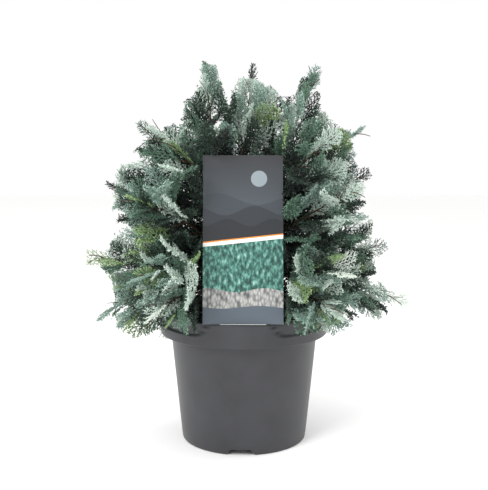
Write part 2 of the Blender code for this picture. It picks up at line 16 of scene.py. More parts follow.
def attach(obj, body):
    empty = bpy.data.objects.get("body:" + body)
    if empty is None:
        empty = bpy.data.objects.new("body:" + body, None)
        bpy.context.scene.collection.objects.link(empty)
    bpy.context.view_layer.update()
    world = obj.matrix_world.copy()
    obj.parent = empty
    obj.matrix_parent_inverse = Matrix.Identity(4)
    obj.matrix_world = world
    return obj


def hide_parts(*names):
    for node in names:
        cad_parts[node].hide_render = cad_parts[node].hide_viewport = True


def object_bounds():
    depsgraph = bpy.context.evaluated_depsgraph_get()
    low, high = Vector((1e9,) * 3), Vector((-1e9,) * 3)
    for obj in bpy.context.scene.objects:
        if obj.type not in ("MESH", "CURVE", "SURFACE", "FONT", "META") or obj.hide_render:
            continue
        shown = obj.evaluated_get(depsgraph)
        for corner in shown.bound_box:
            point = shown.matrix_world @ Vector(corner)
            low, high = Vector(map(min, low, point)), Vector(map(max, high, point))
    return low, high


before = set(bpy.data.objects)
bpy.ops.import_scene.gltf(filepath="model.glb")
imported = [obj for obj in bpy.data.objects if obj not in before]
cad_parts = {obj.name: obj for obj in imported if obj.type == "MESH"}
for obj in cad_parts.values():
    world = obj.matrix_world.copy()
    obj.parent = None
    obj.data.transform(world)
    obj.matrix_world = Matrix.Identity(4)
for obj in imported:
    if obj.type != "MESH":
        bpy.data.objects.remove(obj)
cad_low, cad_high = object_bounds()

MM = 0.001

# Pot, as in the CAD part but in finer columns
POT_HEIGHT = 150 * MM
POT_TURN = math.radians(-3)
BASE_RADIUS, WALL_RADIUS_AT_LIP, RIM_RADIUS = 71.6 * MM, 86.4 * MM, 95.5 * MM
WALL, RIM_DEPTH, RIM_RECESS = 1.5 * MM, 25.5 * MM, 2.3 * MM
FOOT_RISE, FOOT_RING, CENTRE_FOOT_RADIUS = 4 * MM, 5 * MM, 22 * MM
RECESS_FLOOR = POT_HEIGHT - 14 * MM
POCKET_HALF, POCKET_CORNER = math.radians(22), math.radians(10)
NOTCH_WIDTH, NOTCH_TOP_WIDTH, NOTCH_HEIGHT, NOTCHES = 33 * MM, 22 * MM, 6.5 * MM, 4
DRAINS, DRAIN_RADIUS, DRAIN_CIRCLE = 6, 5 * MM, 46 * MM
POT_COLUMNS, POT_SMOOTH = 144, math.radians(35)

# Potting mix, with lumps on top as (waves a metre, height) and loose crumbs
SOIL_TOP, SOIL_EDGE_DROP = 138 * MM, 4 * MM
SOIL_COLUMNS, SOIL_ROWS = 96, 16
LUMPS = ((90, 1.6 * MM), (330, 0.9 * MM))
CRUMBS, CRUMB_FIELD, CRUMB_SIZES = 220, 80 * MM, (0.8 * MM, 2.4 * MM)

# Label
LABEL_X, LABEL_FRONT = -1 * MM, 88.4 * MM
LABEL_WIDTH, LABEL_HEIGHT, LABEL_THICK = 85 * MM, 179 * MM, 0.7 * MM
LABEL_LEAN = math.radians(11)
TONGUE_WIDTH, TONGUE_FOOT_WIDTH, TONGUE_DEPTH = 50 * MM, 38 * MM, 13 * MM
CARD_EDGE = 0.15 * MM

# The card's print, in shares of its width and height. Ridges are (middle height, rise, waves
# across in radians, phase), and each hides what is above it
DISC_AT, DISC_RADIUS = (0.7, 0.86), 0.048
HILLS = (
    (0.74, 0.035, 6.0, 0.6, "#3D444A"),
    (0.67, 0.028, 8.5, 2.4, "#30353A"),
    (0.60, 0.022, 11.0, 4.5, "#26292D"),
)
GRAVEL_RIDGE, FOOT_RIDGE = (0.20, 0.012, 9.0, 1.0), (0.10, 0.008, 7.0, 3.0)
BAND_LEFT, BAND_CLIMB, ORANGE_LINE, BAND_DEPTH = 0.485, 0.05, 0.008, 0.03
PLANTING_BLOTCHES, GRAVEL_STONES = 26.0, 34.0

# Trunk and limbs, as in the CAD part
TRUNK_TOP, TRUNK_RADIUS, TRUNK_TIP_RADIUS = 285 * MM, 5.5 * MM, 2.4 * MM
FLARE, FLARE_HEIGHT = 4 * MM, 12 * MM
TRUNK_LEAN = Vector((-6 * MM, 3 * MM, 0))
BOUGH_RADIUS, BOUGH_TIP_RADIUS = 2.1 * MM, 1.3 * MM
BOUGH_SHARE, LEADER_SHARE = 0.42, 0.36
TRUNK_RINGS, RING_CROWDING, BOUGH_RINGS = 70, 1.4, 14
TRUNK_RELIEF, TRUNK_SHREDS = 0.35 * MM, 2 * MM
BOUGH_RELIEF, BOUGH_SHREDS = 0.12 * MM, 1.2 * MM
BARK_SMOOTH = math.radians(50)

# Tiers from the rim upwards: how many masses, the azimuth that each side of the front is
# left open for the label, height of the root on the trunk, then outward distance and height
# of the curve's bend and of its tip, in millimetres
TIERS = (
    ("skirt", 7, 36, 152, (86, 192), (155, 150)),
    ("low", 6, 40, 172, (70, 208), (156, 214)),
    ("middle", 7, 0, 198, (60, 250), (148, 286)),
    ("upper", 5, 46, 228, (46, 296), (124, 346)),
)
ROOT_STAGGER = 9 * MM
# The shoots that run up past the tiers: height of the root, bend and tip as x, y, z
LEADERS = (
    ("leader_left", 248, (-36, -4, 312), (-43, 2, 429)),
    ("leader_right", 260, (46, 4, 312), (78, -6, 415)),
    ("leader_top", 285, (2, 6, 345), (8, 10, 408)),
)
# Limbs that stand clear of the rest, some arching over the rim to hang beside the pot:
# azimuth, then outward distance and height of the bend and of the tip
LONG_SHOOTS = {
    "skirt_1": (36, (86, 200), (150, 172)),
    "skirt_7": (-36, (86, 200), (150, 170)),
    "skirt_2": (82, (96, 196), (174, 165)),
    "skirt_3": (126, (116, 208), (136, 112)),
    "skirt_5": (-128, (112, 208), (124, 106)),
    "skirt_6": (-84, (92, 194), (154, 150)),
    "low_2": (94, (76, 210), (148, 218)),
    "low_5": (-86, (82, 206), (171, 210)),
    "middle_3": (103, (62, 252), (140, 300)),
    "middle_6": (-98, (62, 252), (150, 288)),
    "upper_2": (96, (48, 292), (130, 352)),
    "upper_4": (-100, (50, 300), (112, 352)),
}

# Crown, in millimetres: how far the foliage reaches left and right at each height, and how
# high it stands at each place from left to right. TOP_FALL lowers it to the front and back,
# and each foot is (place from front to back, lowest height)
REACH_HEIGHTS = (98, 120, 135, 150, 165, 190, 208, 235, 262, 295, 314, 332, 350, 366, 382, 400, 432)
REACH_LEFT = (100, 138, 148, 152, 148, 152, 168, 146, 150, 147, 142, 122, 100, 78, 72, 52, 46)
REACH_RIGHT = (105, 134, 142, 165, 170, 152, 148, 146, 144, 130, 134, 124, 122, 96, 86, 86, 82)
TOP_PLACES = (-175, -150, -125, -104, -74, -56, -48, -30, -24, -17, -12, -6, 22, 36, 46, 58, 64, 84, 92)
TOP_PLACES += (110, 128, 140, 175)
TOP_HEIGHTS = (215, 300, 335, 352, 384, 392, 426, 426, 402, 374, 402, 412, 409, 398, 386, 396, 412, 418)
TOP_HEIGHTS += (386, 362, 356, 310, 170)
DEPTH_REACH = 150
TOP_FALL = 0.006
FRONT_FOOT, BACK_FOOT = (-60, 150), (-10, 100)
BOX_MARGIN = 5 * MM

# Sprays: a rib with branchlets, each with shoots, and scale leaves along them all
TEMPLATES = 12
RIB_LENGTH, BRANCHLET_STEP, BRANCHLET_LENGTH = 55 * MM, 3.4 * MM, 21 * MM
BRANCHLETS_FROM, BRANCHLETS_SPAN = 0.06, 0.9
SHOOT_PLACES, SHORTEST_SHOOT = (0.35, 0.62), 3.2 * MM
BRANCHLET_ANGLES, SHOOT_ANGLES = (36, 50), (28, 44)
FORWARD_BOW = 0.12
LEAF_STEP, LEAF_LENGTH, LEAF_HALF = 2.3 * MM, 3.9 * MM, 0.95 * MM
LEAF_LEANS, LEAF_ROLL, LEAF_WIDEST = (0.5, 0.8), 0.9, 0.42
CORD_RADII = (0.9 * MM, 0.7 * MM, 0.55 * MM)

# Growth: twigs by share of the limb, sprays by share of the twig
TWIGS_PER_LIMB, TWIG_LENGTH, TWIG_RADIUS, TWIG_TIP_RADIUS = 17, 34 * MM, 0.8 * MM, 0.4 * MM
TWIG_FIRST, TWIG_SPAN = 0.26, 0.71
TWIG_LEAN, LEAN_LOST = 0.95, 0.45
TWIG_LONGEST, LENGTH_LOST = 1.1, 0.6
TWIG_SAGS, TWIG_POINTS = (0.02, 0.3), (0, 0.33, 0.66, 1)
GOLDEN_ANGLE = math.pi * (3 - math.sqrt(5))
STEM_END, STEM_STEPS, STEM_TIP_RADIUS = 0.97, 20, 0.5 * MM
STATIONS_ON_TWIG, SPRAY_TURNS, SPRAY_SIZES = (0.45, 0.7, 1.0), (0.35, 0.8), (0.62, 0.95)
TIP_FROM, SIDE_TIP_FROM, SIDE_TIP_TURN, SIDE_TIP_SIZE = 0.86, 0.9, 0.5, 0.6
SPRAY_SCALES = (1.0, 0.8, 0.65)
BLOCKED_SHARE = 0.35
PIECE_TRIANGLES = 188000

# Colours by spray, and how they are dealt by how far out in the crown a spray starts
# The near-black deep colour, and the weight of dark ones dealt to the inner sprays, are painted shade of
# the crown's heart; the pale and silver ones dealt outside are partly the leaves' waxy bloom and partly
# painted highlight.
LEAF_COLOURS = {
    "deep": "#14201A",
    "dark": "#2A3B31",
    "mid": "#5E7C69",
    "blue": "#8EA89C",
    "silver": "#C0D0C5",
    "pale": "#DCE5DC",
    "fresh": "#8FAA78",
}
OUTER = {"silver": 28, "blue": 28, "mid": 18, "pale": 8, "fresh": 7, "dark": 11}
MIDDLE = {"mid": 27, "dark": 25, "blue": 20, "silver": 20, "fresh": 8}
INNER = {"deep": 45, "dark": 40, "mid": 15}
OUTER_FROM, MIDDLE_FROM, CROWN_HEART = 0.78, 0.52, 230 * MM

# Studio: lights as (place, size, watts), and the camera of the photograph
KEY_LIGHT, FILL_LIGHT = ((-0.9, -1.1, 1.3), 0.8, 22), ((1.1, 0.5, 1.0), 1.0, 9)
LIGHT_AIM, FLOOR_SIZE = Vector((0, 0, 0.2)), 8
CAMERA_PLACE, CAMERA_DIP = (0, -0.9624, 0.3468), 0.128
CAMERA_LENS, CAMERA_SENSOR = 62.4, 36


# Materials

def srgb(code):
    """The linear colour of a hex code."""
    parts = [int(code[i : i + 2], 16) / 255 for i in (1, 3, 5)]
    return (*(c / 12.92 if c <= 0.04045 else ((c + 0.055) / 1.055) ** 2.4 for c in parts), 1)


def add(tree, kind, settings=None, inputs=None):
    """Adds a node. Inputs are numbers, colours, or sockets to link from."""
    node = tree.nodes.new(kind)
    for name, value in (settings or {}).items():
        setattr(node, name, value)
    for key, value in (inputs or {}).items():
        if isinstance(value, bpy.types.NodeSocket):
            tree.links.new(value, node.inputs[key])
        else:
            node.inputs[key].default_value = value
    return node


def math_of(tree, operation, *values):
    """The result of one Math node."""
    return add(tree, "ShaderNodeMath", {"operation": operation}, dict(enumerate(values))).outputs[0]


def mix_of(tree, factor, a, b):
    """A colour between a and b. The Mix node's colours are its inputs 6 and 7 and its output 2."""
    settings = {"data_type": "RGBA"}
    return add(tree, "ShaderNodeMix", settings, {0: factor, 6: a, 7: b}).outputs[2]


def ramp(tree, factor, stops):
    """A colour ramp of (position, hex code) stops."""
    node = add(tree, "ShaderNodeValToRGB", None, {0: factor})
    elements = node.color_ramp.elements
    elements[0].position, elements[0].color = stops[0][0], srgb(stops[0][1])
    elements[-1].position, elements[-1].color = stops[-1][0], srgb(stops[-1][1])
    for position, code in stops[1:-1]:
        elements.new(position).color = srgb(code)
    return node.outputs[0]


def new_material(name, roughness, code="#808080"):
    """A Principled material, its node tree and its shader. A pattern may take the colour's place."""
    made = bpy.data.materials.new(name)
    made.use_nodes = True
    shader = made.node_tree.nodes["Principled BSDF"]
    shader.inputs["Base Color"].default_value = srgb(code)
    shader.inputs["Roughness"].default_value = roughness
    return made, made.node_tree, shader


def object_noise(tree, size, stretch=(1, 1, 1), detail=3):
    """Noise whose blotches are about this many metres across in the object's own space."""
    place = add(tree, "ShaderNodeTexCoord").outputs["Object"]
    rates = tuple(s / size for s in stretch)
    spread = add(tree, "ShaderNodeMapping", None, {"Vector": place, "Scale": rates})
    inputs = {"Vector": spread.outputs[0], "Scale": 1.0, "Detail": detail}
    return add(tree, "ShaderNodeTexNoise", None, inputs).outputs[0]


def bump(tree, shader, height, distance, strength):
    """Fine relief of the surface, as deep as the distance in metres."""
    inputs = {"Height": height, "Distance": distance, "Strength": strength}
    tree.links.new(add(tree, "ShaderNodeBump", None, inputs).outputs[0], shader.inputs["Normal"])


def moulded_polypropylene():
    """Recycled black polypropylene: a satin charcoal skin, a little uneven from the mould."""
    made, tree, shader = new_material("moulded_polypropylene", 0.4)
    cloud = object_noise(tree, 30 * MM)
    tree.links.new(ramp(tree, cloud, ((0.3, "#2E2F32"), (0.7, "#37383C"))), shader.inputs["Base Color"])
    patchy = {"Value": cloud, "To Min": 0.36, "To Max": 0.46}
    gloss = add(tree, "ShaderNodeMapRange", None, patchy).outputs[0]
    tree.links.new(gloss, shader.inputs["Roughness"])
    shader.inputs["IOR"].default_value = 1.49
    bump(tree, shader, object_noise(tree, 0.6 * MM), 0.05 * MM, 0.35)
    return made


def peat_mix():
    """Damp peat: near black, rough, with paler bits of fibre."""
    made, tree, shader = new_material("peat_mix", 0.95)
    grain = object_noise(tree, 2.5 * MM, detail=5)
    stops = ((0.3, "#1A120C"), (0.55, "#33251A"), (0.75, "#5A4534"))
    tree.links.new(ramp(tree, grain, stops), shader.inputs["Base Color"])
    bump(tree, shader, grain, 0.8 * MM, 0.8)
    return made


def bark():
    """Young cypress bark: brown, drawn out in shreds along the stem."""
    made, tree, shader = new_material("cypress_bark", 0.85)
    shreds = object_noise(tree, 3 * MM, (2.2, 2.2, 0.35), 5)
    stops = ((0.3, "#33241B"), (0.55, "#5E4534"), (0.75, "#806450"))
    tree.links.new(ramp(tree, shreds, stops), shader.inputs["Base Color"])
    bump(tree, shader, shreds, 0.4 * MM, 0.7)
    return made


def printed_card():
    """Gloss card with a made-up print: hills under a pale disc, a white and orange band, and a
    mottled planting over gravel."""
    made, tree, shader = new_material("printed_card", 0.3)
    place = add(tree, "ShaderNodeUVMap", {"uv_map": "print"}).outputs[0]
    split = add(tree, "ShaderNodeSeparateXYZ", None, {0: place})
    u, v = split.outputs[0], split.outputs[1]

    def below(line):
        return math_of(tree, "LESS_THAN", v, line)

    def ridge(middle, rise, waves, phase):
        wave = math_of(tree, "SINE", math_of(tree, "MULTIPLY_ADD", u, waves, phase))
        return math_of(tree, "MULTIPLY_ADD", wave, rise, middle)

    colour = ramp(tree, v, ((0.5, "#59636B"), (0.75, "#454C52"), (1.0, "#333437")))
    du = math_of(tree, "MULTIPLY", math_of(tree, "SUBTRACT", u, DISC_AT[0]), LABEL_WIDTH / LABEL_HEIGHT)
    dv = math_of(tree, "SUBTRACT", v, DISC_AT[1])
    squares = math_of(tree, "ADD", math_of(tree, "POWER", du, 2.0), math_of(tree, "POWER", dv, 2.0))
    disc = math_of(tree, "LESS_THAN", squares, DISC_RADIUS**2)
    colour = mix_of(tree, disc, colour, srgb("#8C979D"))
    for *shape, code in HILLS:
        colour = mix_of(tree, below(ridge(*shape)), colour, srgb(code))
    tilt = math_of(tree, "MULTIPLY_ADD", u, BAND_CLIMB, BAND_LEFT)
    colour = mix_of(tree, below(tilt), colour, srgb("#E08A35"))
    white = below(math_of(tree, "SUBTRACT", tilt, ORANGE_LINE))
    colour = mix_of(tree, white, colour, srgb("#F2F2EE"))
    fine = {"Vector": place, "Scale": PLANTING_BLOTCHES, "Detail": 4.0}
    leaves = add(tree, "ShaderNodeTexNoise", None, fine).outputs[0]
    stops = ((0.32, "#16302C"), (0.48, "#35665C"), (0.60, "#639A8D"), (0.72, "#A3C8BE"))
    planting = ramp(tree, leaves, stops)
    colour = mix_of(tree, below(math_of(tree, "SUBTRACT", tilt, BAND_DEPTH)), colour, planting)
    coarse = {"Vector": place, "Scale": GRAVEL_STONES}
    stones = add(tree, "ShaderNodeTexVoronoi", None, coarse).outputs[0]
    gravel = ramp(tree, stones, ((0.0, "#C9C9C4"), (0.5, "#9A9A98"), (0.9, "#56585A")))
    colour = mix_of(tree, below(ridge(*GRAVEL_RIDGE)), colour, gravel)
    colour = mix_of(tree, below(ridge(*FOOT_RIDGE)), colour, srgb("#56606A"))
    tree.links.new(colour, shader.inputs["Base Color"])
    return made


# Pieces made one by one

def deselect():
    for obj in bpy.context.selected_objects:
        obj.select_set(False)


def take(obj):
    """Selects the object alone and makes it the active one."""
    deselect()
    obj.select_set(True)
    bpy.context.view_layer.objects.active = obj


def join(objects):
    """Joins the objects into the first."""
    take(objects[0])
    for obj in objects[1:]:
        obj.select_set(True)
    bpy.ops.object.join()
    return objects[0]


def register(obj, name, slot, nodes, *finishes):
    """Names a piece, gives it its materials, hangs it from the root body and hides the CAD parts it
    replaces.
    """
    obj.name = name
    obj.data.name = name
    if finishes:
        obj.data.materials.clear()
        for finish in finishes:
            obj.data.materials.append(finish)
    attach(obj, "root")
    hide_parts(*nodes)
    return obj


def ring_stack(rings, columns, turn=0.0):
    """A solid turned round Z, extruded ring after ring of (radius, height)."""
    deselect()
    radius, height = rings[0]
    bpy.ops.mesh.primitive_circle_add(vertices=columns, radius=radius, fill_type="NGON")
    obj = bpy.context.object
    bpy.ops.object.mode_set(mode="EDIT")
    bpy.ops.mesh.select_all(action="SELECT")
    bpy.ops.transform.translate(value=(0, 0, height))
    for wide, high in rings[1:]:
        bpy.ops.mesh.extrude_region_move(TRANSFORM_OT_translate={"value": (0, 0, high - height)})
        share = wide / radius
        bpy.ops.transform.resize(value=(share, share, 1), center_override=(0, 0, 0))
        radius, height = wide, high
    bpy.ops.mesh.select_all(action="SELECT")
    bpy.ops.mesh.normals_make_consistent(inside=False)
    bpy.ops.object.mode_set(mode="OBJECT")
    obj.data.transform(Matrix.Rotation(turn, 4, "Z"))
    return obj


def wall_radius(height):
    """Outside radius of the tapered wall at a height."""
    return BASE_RADIUS + (WALL_RADIUS_AT_LIP - BASE_RADIUS) * height / POT_HEIGHT


def recess(azimuth, height):
    """How far the rim's face is sunk, from 0 on the label pockets to 1 in the grip panels."""
    off = abs(math.remainder(azimuth - POT_TURN, math.pi))
    across = min(max((POCKET_HALF + POCKET_CORNER - off) / POCKET_CORNER, 0), 1)
    edge = RECESS_FLOOR + (POT_HEIGHT + MM - RECESS_FLOOR) * (1 - math.sqrt(1 - across**2))
    step = min(max((height - edge) / (2.5 * MM) + 0.5, 0), 1)
    return step * step * (3 - 2 * step)


def pot_rings():
    """The pot's section from its underside, up the outside, over the rim and down to its floor."""
    lip, skirt_foot = POT_HEIGHT, POT_HEIGHT - RIM_DEPTH
    inner_skin = RIM_RADIUS - RIM_RECESS - WALL
    under = [
        (CENTRE_FOOT_RADIUS, 0),
        (CENTRE_FOOT_RADIUS + FOOT_RISE, FOOT_RISE),
        (BASE_RADIUS - FOOT_RING - MM, FOOT_RISE),
        (BASE_RADIUS - FOOT_RING, 0),
        (BASE_RADIUS - 2 * MM, 0),
        (BASE_RADIUS - 0.9 * MM, 0.3 * MM),
        (BASE_RADIUS - 0.2 * MM, 1.1 * MM),
    ]
    wall_rows = [2.5 * MM + (lip - WALL - 2.5 * MM) * i / 6 for i in range(7)]
    wall = [(wall_radius(h), h) for h in wall_rows] + [
        (inner_skin - WALL, lip - WALL),
        (inner_skin, lip - 2 * WALL),
        (inner_skin, RECESS_FLOOR - MM),
        (RIM_RADIUS - WALL, RECESS_FLOOR - 4 * MM),
        (RIM_RADIUS - WALL, skirt_foot + 0.3 * MM),
        (RIM_RADIUS - WALL + 0.3 * MM, skirt_foot),
        (RIM_RADIUS - 0.5 * MM, skirt_foot),
        (RIM_RADIUS - 0.1 * MM, skirt_foot + 0.4 * MM),
    ]
    face = [(RIM_RADIUS, skirt_foot + 1.2 * MM + i * MM) for i in range(23)]
    round_lip = [
        (RIM_RADIUS - (1 - math.cos(a)) * MM, lip - MM + math.sin(a) * MM)
        for a in (math.radians(d) for d in (15, 35, 55, 75, 90))
    ]
    inner = [
        (WALL_RADIUS_AT_LIP - WALL + MM, lip),
        (WALL_RADIUS_AT_LIP - WALL + 0.3 * MM, lip - 0.3 * MM),
        (WALL_RADIUS_AT_LIP - WALL, lip - MM),
        (wall_radius(FOOT_RISE) - WALL, FOOT_RISE + 2 * WALL),
        (wall_radius(FOOT_RISE) - 2 * WALL, FOOT_RISE + WALL),
    ]
    return under + wall + face + round_lip + inner


def sink_panels(obj):
    """Sinks the grip panels into the rim's face and draws the skin behind the pockets forward."""
    for vert in obj.data.vertices:
        radius = math.hypot(vert.co.x, vert.co.y)
        if radius < RIM_RADIUS - RIM_RECESS - 2.5 * WALL or vert.co.z < RECESS_FLOOR - 2 * MM:
            continue
        azimuth = math.atan2(vert.co.x, -vert.co.y)
        if radius < RIM_RADIUS - RIM_RECESS - 0.5 * WALL:
            move = RIM_RECESS * (1 - recess(azimuth, POT_HEIGHT))
        else:
            move = -RIM_RECESS * recess(azimuth, vert.co.z)
        vert.co.x *= (radius + move) / radius
        vert.co.y *= (radius + move) / radius


def block(size, middle, top_share=1.0):
    """A block of a size round a middle, its top narrowed in X."""
    deselect()
    bpy.ops.mesh.primitive_cube_add(size=1)
    obj = bpy.context.object
    for vert in obj.data.vertices:
        if vert.co.z > 0:
            vert.co.x *= top_share
        vert.co = Vector(c * s for c, s in zip(vert.co, size)) + Vector(middle)
    return obj


def notch_cutter(azimuth):
    """A block with sloping ends that opens one drainage gap in the foot ring."""
    deep = 16 * MM
    near = BASE_RADIUS - FOOT_RING - 2.5 * MM
    size = (NOTCH_WIDTH + 3 * MM, deep, NOTCH_HEIGHT + 2 * MM)
    middle = (0, -near - deep / 2, NOTCH_HEIGHT / 2 - MM)
    obj = block(size, middle, NOTCH_TOP_WIDTH / (NOTCH_WIDTH + 3 * MM))
    obj.data.transform(Matrix.Rotation(azimuth, 4, "Z"))
    return obj


def drain_cutter(azimuth):
    deselect()
    bpy.ops.mesh.primitive_cylinder_add(vertices=32, radius=DRAIN_RADIUS, depth=10 * MM)
    obj = bpy.context.object
    middle = Vector((math.sin(azimuth), -math.cos(azimuth), 0)) * DRAIN_CIRCLE
    obj.data.transform(Matrix.Translation(middle + Vector((0, 0, FOOT_RISE))))
    return obj


def make_pot():
    pot = ring_stack(pot_rings(), POT_COLUMNS, POT_TURN)
    sink_panels(pot)
    cutters = [notch_cutter(POT_TURN + math.tau * i / NOTCHES) for i in range(NOTCHES)]
    cutters += [drain_cutter(POT_TURN + math.tau * (i + 0.5) / DRAINS) for i in range(DRAINS)]
    slot_size = (TONGUE_WIDTH + 1.4 * MM, LABEL_THICK + 1.4 * MM, 6 * MM)
    cutters.append(block(slot_size, (LABEL_X, -LABEL_FRONT, POT_HEIGHT)))
    cutter = join(cutters)
    take(pot)
    cut = pot.modifiers.new("openings", "BOOLEAN")
    cut.operation, cut.solver, cut.object = "DIFFERENCE", "EXACT", cutter
    bpy.ops.object.modifier_apply(modifier=cut.name)
    bpy.data.objects.remove(cutter)
    take(pot)
    bpy.ops.object.shade_smooth_by_angle(angle=POT_SMOOTH)
    register(pot, "nursery_pot", "pot_plastic", ["pot"], moulded_polypropylene())


def make_soil():
    rng = random.Random(11)
    low, high = FOOT_RISE + 2 * WALL, POT_HEIGHT - MM
    foot, top = wall_radius(FOOT_RISE) - WALL, WALL_RADIUS_AT_LIP - WALL
    floor, edge = FOOT_RISE + WALL + 0.6 * MM, SOIL_TOP - SOIL_EDGE_DROP

    def wall(height):
        return foot + (top - foot) * (height - low) / (high - low) - 0.5 * MM

    rings = [(wall(low) - 2 * WALL, floor), (wall(low + WALL), low + WALL), (wall(edge), edge)]
    for i in range(1, SOIL_ROWS):
        share = i / SOIL_ROWS
        rings.append((wall(edge) * (1 - share), edge + SOIL_EDGE_DROP * math.sin(share * math.pi / 2)))
    soil = ring_stack(rings, SOIL_COLUMNS)
    for vert in soil.data.vertices:
        if vert.co.z > edge + 0.2 * MM:
            vert.co.z += sum(noise.noise(vert.co * waves) * high for waves, high in LUMPS)
    take(soil)
    bpy.ops.object.mode_set(mode="EDIT")
    for _ in range(CRUMBS):
        out, turn = CRUMB_FIELD * math.sqrt(rng.uniform(0.03, 1)), rng.uniform(0, math.tau)
        height = edge + SOIL_EDGE_DROP * math.sin((1 - out / wall(edge)) * math.pi / 2)
        spot = (out * math.cos(turn), out * math.sin(turn), height)
        bpy.ops.mesh.primitive_ico_sphere_add(
            subdivisions=1,
            radius=rng.uniform(*CRUMB_SIZES),
            location=spot,
            rotation=(rng.uniform(0, 3), rng.uniform(0, 3), 0),
            scale=(1, rng.uniform(0.5, 1), rng.uniform(0.4, 0.8)),
        )
    bpy.ops.object.mode_set(mode="OBJECT")
    register(soil, "peat_top", "potting_mix", ["soil"], peat_mix())


def label_matrix():
    seat = Vector((LABEL_X, -LABEL_FRONT, POT_HEIGHT + 0.3 * MM))
    return Matrix.Translation(seat) @ Matrix.Rotation(-LABEL_LEAN, 4, "X")


def make_label():
    card = block((LABEL_WIDTH, LABEL_THICK, LABEL_HEIGHT), (0, 0, LABEL_HEIGHT / 2))
    foot_size = (TONGUE_FOOT_WIDTH, LABEL_THICK * 0.9, TONGUE_DEPTH + MM)
    wider = TONGUE_WIDTH / TONGUE_FOOT_WIDTH
    tongue = block(foot_size, (0, 0, (MM - TONGUE_DEPTH) / 2), wider)
    for obj in (card, tongue):
        take(obj)
        edge = obj.modifiers.new("edge", "BEVEL")
        edge.width, edge.segments = CARD_EDGE, 2
        bpy.ops.object.modifier_apply(modifier=edge.name)
    label = join([card, tongue])
    prints = label.data.uv_layers.new(name="print")
    for loop in label.data.loops:
        spot = label.data.vertices[loop.vertex_index].co
        prints.data[loop.index].uv = (spot.x / LABEL_WIDTH + 0.5, spot.z / LABEL_HEIGHT)
    for face in label.data.polygons:
        front = face.normal.y < -0.9 and face.center.z > 0
        face.material_index = 0 if front else 1
    label.data.transform(label_matrix())
    white = new_material("white_card", 0.35, "#E4E5E2")[0]
    register(label, "plant_label", "label_card", ["label"])
    label.data.materials.append(printed_card())
    label.data.materials.append(white)


# Limbs

def bezier(root, bend, tip, t):
    return root * (1 - t) ** 2 + bend * (2 * t * (1 - t)) + tip * t**2


def trunk_axis(height):
    """Centre of the trunk at a height: a lean with one slow wave in it."""
    share = (height - SOIL_TOP) / (TRUNK_TOP - SOIL_TOP)
    wave = Vector((math.sin(share * math.pi * 1.6), math.cos(share * math.pi) - 1, 0)) * 1.5 * MM
    return TRUNK_LEAN * share + wave + Vector((0, 0, height))


def trunk_radius(height):
    share = (height - SOIL_TOP) / (TRUNK_TOP - SOIL_TOP)
    flare = FLARE * math.exp(-(height - SOIL_TOP) / (FLARE_HEIGHT / 2))
    return TRUNK_RADIUS + (TRUNK_TIP_RADIUS - TRUNK_RADIUS) * share + flare


def outward(azimuth):
    """The level direction at an azimuth in degrees: 0 is the front, 90 the right."""
    turn = math.radians(azimuth)
    return Vector((math.sin(turn), -math.cos(turn), 0))


class Limb:
    """One limb's curve from the trunk to a mass's tip, with the share of it that is the bough."""

    def __init__(self, name, root, bend, tip, bough_share=BOUGH_SHARE):
        self.name, self.root, self.bend, self.tip = name, root, bend, tip
        self.bough_share = bough_share

    def at(self, t):
        return bezier(self.root, self.bend, self.tip, t)

    def slope(self, t):
        return ((self.bend - self.root) * (2 - 2 * t) + (self.tip - self.bend) * (2 * t)).normalized()


def spread(count, opening):
    """The azimuths of a tier's masses, with none nearer the front than the opening."""
    if not opening:
        return [360 * i / count for i in range(count)]
    return [opening + (360 - 2 * opening) * i / (count - 1) for i in range(count)]


def label_room(azimuth, reach, height):
    """Outward reach at this azimuth and height, cut short where the label stands in front."""
    line, above = outward(azimuth), height - POT_HEIGHT
    front = LABEL_FRONT - above * math.tan(LABEL_LEAN) - 4 * MM
    passes = abs(line.x) * front > -line.y * (LABEL_WIDTH / 2 + 4 * MM)
    if above > LABEL_HEIGHT or line.y >= 0 or passes:
        return reach
    return min(reach, front / -line.y)


def tier_limbs():
    rng = random.Random(3)
    limbs = []
    for tier, count, opening, root_z, bend, tip in TIERS:
        for i, azimuth in enumerate(spread(count, opening)):
            name = f"{tier}_{i + 1}"
            longer, higher = rng.uniform(0.95, 1.02), rng.uniform(-7, 7)
            knee = (bend[0] * longer, bend[1] + higher / 2)
            end = (tip[0] * longer, tip[1] + higher)
            azimuth, knee, end = LONG_SHOOTS.get(name, (azimuth, knee, end))
            reach = label_room(azimuth, end[0] * MM, end[1] * MM)
            line = outward(azimuth)
            root = trunk_axis(root_z * MM + ROOT_STAGGER * (i % 2))
            bend_at = line * knee[0] * reach / end[0] + Vector((0, 0, knee[1] * MM))
            limbs.append(Limb(name, root, bend_at, line * reach + Vector((0, 0, end[1] * MM))))
    return limbs


def leader_limbs():
    limbs = []
    for name, root_z, bend, tip in LEADERS:
        root = trunk_axis(min(root_z * MM, TRUNK_TOP))
        share = 0 if root_z * MM >= TRUNK_TOP else LEADER_SHARE
        limbs.append(Limb(name, root, Vector(bend) * MM, Vector(tip) * MM, share))
    return limbs


def stem_curve(points, radii, roundness):
    """A round tapered stem through the points, as a mesh."""
    curve = bpy.data.curves.new("stem", "CURVE")
    curve.dimensions = "3D"
    curve.bevel_depth, curve.bevel_resolution, curve.use_fill_caps = 1, roundness, True
    line = curve.splines.new("POLY")
    line.points.add(len(points) - 1)
    for spot, point, radius in zip(line.points, points, radii):
        spot.co, spot.radius = (*point, 1), radius
    obj = bpy.data.objects.new("stem", curve)
    bpy.context.scene.collection.objects.link(obj)
    take(obj)
    bpy.ops.object.convert(target="MESH")
    return bpy.context.object


def roughen(obj, relief, size):
    """Raises the bark in shreds that run along the stem."""
    stretch = Vector((1 / size, 1 / size, 0.25 / size))
    moved = []
    for vert in obj.data.vertices:
        lift = noise.noise(vert.co * stretch) * relief
        moved.append(vert.co + vert.normal * lift)
    for vert, spot in zip(obj.data.vertices, moved):
        vert.co = spot


